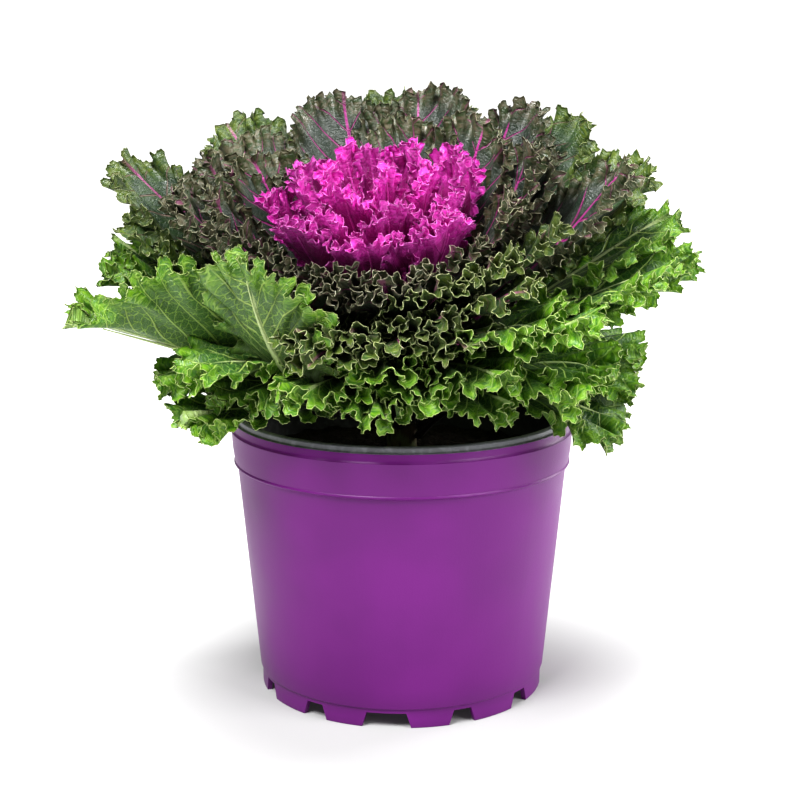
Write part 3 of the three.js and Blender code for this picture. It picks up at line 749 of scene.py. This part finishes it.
def dark_plastic():
    s = Shader("dark_plastic")
    where = s.node("TexCoord").outputs["Object"]
    dust = s.noise(where, 300.0, 4.0)
    height = s.node("SeparateXYZ", {0: where}).outputs["Z"]
    inside = s.mix(s.step(dust, 0.45, 0.75), srgb(44, 44, 47), srgb(70, 70, 74))
    # The lip's top is painted lighter grey: painted light on the same dark plastic where it faces the light from
    # above; the inside keeps the plastic's own dark grey.
    lip_painted_light = s.mix(s.step(dust, 0.45, 0.75), srgb(92, 93, 98), srgb(120, 121, 126))
    colour = s.mix(s.step(height, POT["height"] / 1000 - 0.0016, POT["height"] / 1000 - 0.0004), inside, lip_painted_light)
    s.surface(Base_Color=colour, Roughness=s.step(dust, 0.3, 0.7, 0.35, 0.5))
    s.bump(dust, 0.0001, 0.4)
    return s.material


def wall_radius(z):
    """The wall's outer radius between the foot and the collar."""
    low, high = POT["foot"] + POT["foot_step"], POT["shoulder"]
    return low + (high - low) * (z - POT["foot_height"]) / (POT["collar"] - POT["foot_height"])


def cut_drains(pot):
    """Cuts the round drainage holes through the pot's floor."""
    sides, past = 24, 3
    turns = 2 * math.pi * np.arange(sides) / sides
    points, faces = [], []
    for k in range(DRAIN["count"]):
        around = 2 * math.pi * k / DRAIN["count"]
        first = len(points)
        for z in (POT["foot_height"] - past, POT["foot_height"] + past):
            points += [(DRAIN["circle"] * math.cos(around) + DRAIN["radius"] * math.cos(turn),
                        DRAIN["circle"] * math.sin(around) + DRAIN["radius"] * math.sin(turn), z) for turn in turns]
        low = [first + i for i in range(sides)]
        top = [i + sides for i in low]
        faces += [low[::-1], top]
        faces += [(low[i - 1], low[i], top[i], top[i - 1]) for i in range(sides)]
    mesh = bpy.data.meshes.new("drain_cutter")
    mesh.from_pydata([tuple(p) for p in np.array(points) / 1000 + POT_CENTRE], [], faces)
    cutter = bpy.data.objects.new("drain_cutter", mesh)
    bpy.context.collection.objects.link(cutter)
    cut = pot.modifiers.new("drains", "BOOLEAN")
    cut.operation, cut.solver, cut.object = "DIFFERENCE", "EXACT", cutter
    whole = pot.data
    result = bpy.data.meshes.new_from_object(pot.evaluated_get(bpy.context.evaluated_depsgraph_get()))
    pot.modifiers.clear()
    pot.data = result
    bpy.data.meshes.remove(whole)
    bpy.data.objects.remove(cutter)
    bpy.data.meshes.remove(mesh)
    result.name = pot.name


def make_pot():
    inner = POT["rim"] - LIP["width"]
    collar, ridge, height, wall = POT["collar"], POT["ridge_height"], POT["height"], POT["wall"]
    foot, foot_height = POT["foot"], POT["foot_height"]
    outside = [(foot - 0.5, 0.0), (foot - 0.12, 0.15), (foot, 0.7), (foot, 4.0), (foot, foot_height - 0.6),
               (foot + 0.15, foot_height - 0.15), (wall_radius(foot_height) - 0.1, foot_height + 0.3)]
    outside += [(wall_radius(z), z) for z in np.linspace(foot_height + 0.8, collar - 0.5, 12)]
    # Beads at the collar's bottom and at the ridge catch the light from above.
    outside += [(POT["shoulder"] + 0.1, collar - 0.1), (POT["shoulder"] + 0.9, collar + 0.2),
                (POT["rim"] - 0.5, collar + 0.6), (POT["rim"] - 0.2, collar + 1.1), (POT["rim"] - 0.25, collar + 1.5),
                (POT["rim"] - 0.65, collar + 2.0), (POT["rim"] - 0.5, collar + 3.2),
                (POT["rim"] + 0.3, collar + 9), (POT["ridge"] - 0.3, ridge - 2), (POT["ridge"] + 0.05, ridge - 0.5),
                (POT["ridge"] + 0.05, ridge), (POT["rim"] + 0.3, ridge + 0.8), (POT["rim"] + 0.1, ridge + 1.5),
                (POT["rim"] - 0.1, height - 1.2), (POT["rim"] - 0.3, height - 0.2)]
    # The dark lip stands a little inside the purple edge and above it.
    dark = [(POT["rim"] - 0.5, height), (POT["rim"] - 1.3, height + 0.1), (POT["rim"] - 1.7, height + 0.5),
            (POT["rim"] - 1.9, height + LIP["rise"] - 0.6), (POT["rim"] - 2.4, height + LIP["rise"] - 0.1),
            (inner + 0.9, height + LIP["rise"]), (inner + 0.2, height + LIP["rise"] - 0.4),
            (inner, height + LIP["rise"] - 1.2), (inner, height - 5),
            (POT["rim"] - wall - 0.4, height - 6), (POT["rim"] - wall - 0.3, collar + 4),
            (POT["shoulder"] - wall, collar + 0.5)]
    dark += [(wall_radius(z) - wall, z) for z in (80.0, 45.0, foot_height + wall)]
    round_drains = 50.0
    dark += [(round_drains, foot_height + wall), (0.0, foot_height + wall)]
    under = [(0.0, foot_height), (round_drains, foot_height), (foot - POT["foot_wall"], foot_height),
             (foot - POT["foot_wall"], 4.0), (foot - POT["foot_wall"], 0.0)]
    profile = under + outside + dark
    radius = np.array([point[0] for point in profile])
    heights = np.array([point[1] for point in profile])

    # Columns are even, with more at the corners of each notch, where the foot's lower edge turns up.
    columns, digits = 180, 5
    turns = list(np.linspace(0, 2 * math.pi, columns, endpoint=False))
    notches = []
    for k in range(NOTCH["count"]):
        half = (NOTCH["wide"] if k % NOTCH["wide_every"] == 0 else NOTCH["narrow"]) / 2
        middle = math.radians(NOTCH["first"] + 360 / NOTCH["count"] * k)
        notches.append((middle, half))
        for reach in (half, half + NOTCH["flare"]):
            turns += [(middle + side * math.asin(reach / foot)) % (2 * math.pi) for side in (-1, 1)]
    turns = np.unique(np.round(turns, digits))
    lower_edge = np.zeros(len(turns))
    for middle, half in notches:
        gap = (turns - middle + math.pi) % (2 * math.pi) - math.pi
        away = np.where(np.abs(gap) > 1, np.inf, np.abs(np.sin(gap)) * foot)
        open_share = np.clip((half + NOTCH["flare"] - away) / NOTCH["flare"], 0, 1)
        lower_edge = np.maximum(lower_edge, NOTCH["height"] * open_share)

    # Under the squeezed height, the foot's rings close up over each notch.
    squeezed = 8.2
    n, m = len(profile), len(turns)
    z = np.repeat(heights[None, :], m, axis=0)
    in_foot = (heights < squeezed) & (radius > foot - POT["foot_wall"] - 0.1)
    lifted = lower_edge[:, None] + (z * (squeezed - lower_edge[:, None]) / squeezed)
    z = np.where(in_foot[None, :], lifted, z)
    x = radius[None, :] * np.cos(turns)[:, None]
    y = radius[None, :] * np.sin(turns)[:, None]
    points = np.stack([x, y, z], axis=-1).reshape(-1, 3)
    faces, rows = turned_faces(m, n, len(points), len(points) + 1)
    points = np.concatenate([points, [[0, 0, foot_height], [0, 0, foot_height + wall]]])
    first_dark = len(under) + len(outside) - 1
    is_dark = np.concatenate([rows >= first_dark, np.tile([False, True], m)])
    points, faces = without_spares(points, faces)
    piece = make_piece("pot_body", points, faces, [pot_plastic(), dark_plastic()], node="pot",
                       material_index=is_dark)
    cut_drains(piece)
    sharpest_smooth = math.radians(32)
    piece.data.set_sharp_from_angle(angle=sharpest_smooth)


make_pot()


# ---------- potting mix ----------

def mix_material():
    s = Shader("potting_mix")
    where = s.node("TexCoord").outputs["Object"]
    crumbs = s.node("TexVoronoi", {"Vector": where, "Scale": 420.0})
    fibres = s.noise(where, 900.0, 4.0)
    # The mix is painted near black: partly its own dark colour, partly painted shade for the dark hollow under the
    # leaves.
    colour = s.mix(s.step(fibres, 0.35, 0.7), srgb(12, 9, 7), srgb(40, 30, 23))
    colour = s.mix(s.math("MULTIPLY", crumbs.outputs["Color"], 0.3), colour, srgb(62, 48, 36))
    s.surface(Base_Color=colour, Roughness=0.95, Specular_IOR_Level=0.2)
    s.bump(s.math("ADD", crumbs.outputs["Distance"], fibres), 0.0015, 0.9)
    return s.material


def mix_radius(z):
    return wall_radius(z) - POT["wall"] - 2 * GAP


def make_mix():
    """The mix, crumbly on top and falling a little to the wall, with a hole for the stalk."""
    bottom, halfway = POT["foot_height"] + POT["wall"] + GAP, 60.0
    hole = STALK["base"] + GAP + 0.1
    hole_bottom = SOIL["surface"] - STALK["depth"] - GAP
    shoulder = SOIL["surface"] - SOIL["edge_drop"] - 4
    edge = mix_radius(shoulder)
    columns, rings = 120, 44
    turns = 2 * math.pi * np.arange(columns) / columns
    radii = np.linspace(hole, edge - 1.0, rings)
    profile = [(0.0, hole_bottom), (hole, hole_bottom)]
    profile += [(r, SOIL["surface"] - SOIL["edge_drop"] * ((r - hole) / (edge - 2 - hole)) ** 2) for r in radii]
    profile += [(edge, shoulder), (mix_radius(halfway), halfway), (mix_radius(bottom), bottom), (0.0, bottom)]
    profile = np.array(profile[::-1])
    n, m = len(profile), len(turns)
    x = profile[None, :, 0] * np.cos(turns)[:, None]
    y = profile[None, :, 0] * np.sin(turns)[:, None]
    z = np.repeat(profile[None, :, 1], m, axis=0)
    lumps = (np.sin(0.31 * x + 1) * np.cos(0.27 * y) + 0.6 * np.sin(0.19 * x - 0.23 * y))
    crumbs = (np.sin(1.1 * x + 2.1 * np.sin(0.6 * y)) * np.sin(1.25 * y + 1.7 * np.sin(0.7 * x))
              + 0.6 * np.sin(2.3 * x + 1.3 * y) * np.sin(2.1 * y - 1.7 * x))
    top = (z > SOIL["surface"] - SOIL["edge_drop"] - 1) & (profile[None, :, 0] > hole + 1)
    z = z + np.where(top, SOIL["lump"] * lumps + SOIL["crumb"] * crumbs, 0)
    points = np.stack([x, y, z], axis=-1).reshape(-1, 3)
    faces, _ = turned_faces(m, n, 0, n - 1)
    points, faces = without_spares(points, faces)
    make_piece("potting_mix_crumbs", points, faces, [mix_material()], node="potting_mix")


make_mix()


# ---------- stalk ----------

def stalk_material():
    s = Shader("stalk")
    where = s.node("TexCoord").outputs["Object"]
    patches = s.noise(where, 90.0, 4.0)
    bark = s.noise(s.scaled(where, (1.0, 1.0, 0.25)), 700.0, 4.0)
    colour = s.mix(s.step(patches, 0.35, 0.65), srgb(120, 128, 84), srgb(112, 90, 66))
    colour = s.mix(s.step(bark, 0.5, 0.75), colour, srgb(82, 66, 50))
    s.surface(Base_Color=colour, Roughness=0.75)
    s.bump(s.math("ADD", bark, patches), 0.0006, 0.8)
    return s.material


def make_stalk():
    """The stalk, with a scar below each of the older leaves and a blunt crown."""
    sides, stations = 32, 116
    in_mix = [-STALK["depth"], -20.0, -8.0]
    heights = np.concatenate([in_mix, np.linspace(-2, STALK["crown_height"], stations)])
    turns = 2 * math.pi * np.arange(sides) / sides
    scars = [leaf_sizes(index) for index in range(GREEN + DUSKY)]
    rings = []
    for height in heights:
        point, turn = axis_frame(height)
        radius = np.full(sides, stalk_radius(height) - BARK)
        for scar in scars:
            gap = (turns - scar["azimuth"] + math.pi) % (2 * math.pi) - math.pi
            above = height - scar["height"] + SCAR["below"]
            near = np.exp(-((gap / SCAR["half_angle"]) ** 2) - (above / SCAR["half_height"]) ** 2)
            radius += SCAR["thick"] * near
        radius = np.minimum(radius, stalk_radius(height) + BARK)
        ring = np.stack([radius * np.cos(turns), radius * np.sin(turns), np.zeros(sides)], axis=1)
        rings.append(ring @ turn.T + point)
    points = np.concatenate(rings + [[rings[0].mean(axis=0)], [rings[-1].mean(axis=0)]])
    faces = tube_faces(len(rings), sides)
    make_piece("stalk_stem", points, faces, [stalk_material()], node="stalk")


make_stalk()


# ---------- camera, floor and light ----------

def add_light(name, place, aim, size, energy):
    light = bpy.data.lights.new(name, "AREA")
    light.shape = "RECTANGLE"
    light.size, light.size_y = size
    light.energy = energy
    lamp = bpy.data.objects.new(name, light)
    lamp.location = place
    direction = np.array(aim) - np.array(place)
    flat = math.hypot(direction[0], direction[1])
    lamp.rotation_euler = (math.atan2(flat, -direction[2]), 0.0, math.atan2(-direction[0], direction[1]))
    bpy.context.collection.objects.link(lamp)


camera_from_pot, degrees_down = np.array([-0.0009, -0.769, 0.3]), 11.47
camera_data = bpy.data.cameras.new("camera")
camera_data.lens = 70.8
camera_data.sensor_width = 36.0
camera = bpy.data.objects.new("camera", camera_data)
camera.location = POT_CENTRE + camera_from_pot
camera.rotation_euler = (math.radians(90 - degrees_down), 0.0, 0.0)
bpy.context.collection.objects.link(camera)
bpy.context.scene.camera = camera

# The floor glows all round the pot as painted light, weakest near the pot, so that the floor far off is white and
# near the pot it stays grey: real shadow under the plant, with painted shade where the glow is weak.
half, glow_centre, grey, white = 6, (0.005, -0.04, 0.0), (0.385, 0.385, 0.385, 1.0), (1.0, 1.0, 1.0, 1.0)
floor_mesh = bpy.data.meshes.new("floor")
floor_mesh.from_pydata([(-half, -half, 0), (half, -half, 0), (half, half, 0), (-half, half, 0)], [], [(0, 1, 2, 3)])
floor = bpy.data.objects.new("floor", floor_mesh)
floor_shader = Shader("floor")
where = floor_shader.node("TexCoord").outputs["Object"]
distance = floor_shader.node("VectorMath", {0: where, 1: glow_centre}, operation="DISTANCE").outputs["Value"]
glow = floor_shader.math("ADD", floor_shader.step(distance, 0.07, 0.19, 0.02, 0.65),
                         floor_shader.step(distance, 0.25, 1.3, 0.0, 0.45))
floor_shader.surface(Base_Color=grey, Roughness=0.9, Specular_IOR_Level=0.1,
                     Emission_Color=white, Emission_Strength=glow)
floor_mesh.materials.append(floor_shader.material)
bpy.context.collection.objects.link(floor)

world = bpy.data.worlds.new("studio")
world.use_nodes = True
sky = world.node_tree.nodes["Background"]
sky.inputs["Color"].default_value = white
# The backdrop is white to the camera and dimmer as a light.
seen = world.node_tree.nodes.new("ShaderNodeLightPath").outputs["Is Camera Ray"]
level = world.node_tree.nodes.new("ShaderNodeMapRange")
level.inputs["To Min"].default_value = 0.2
level.inputs["To Max"].default_value = 1.0
world.node_tree.links.new(seen, level.inputs["Value"])
world.node_tree.links.new(level.outputs[0], sky.inputs["Strength"])
bpy.context.scene.world = world

target = (0.0, 0.0, 0.17)
add_light("key", (-0.6, -0.9, 1.7), target, (0.8, 0.8), 58)
add_light("fill", (1.2, -0.8, 1.1), target, (0.9, 1.2), 29)
add_light("rim_right", (1.1, 0.6, 0.6), (0.0, 0.0, 0.1), (0.4, 1.2), 12)

bpy.context.scene.view_settings.view_transform = "Standard"
bpy.context.scene.view_settings.look = "Medium High Contrast"
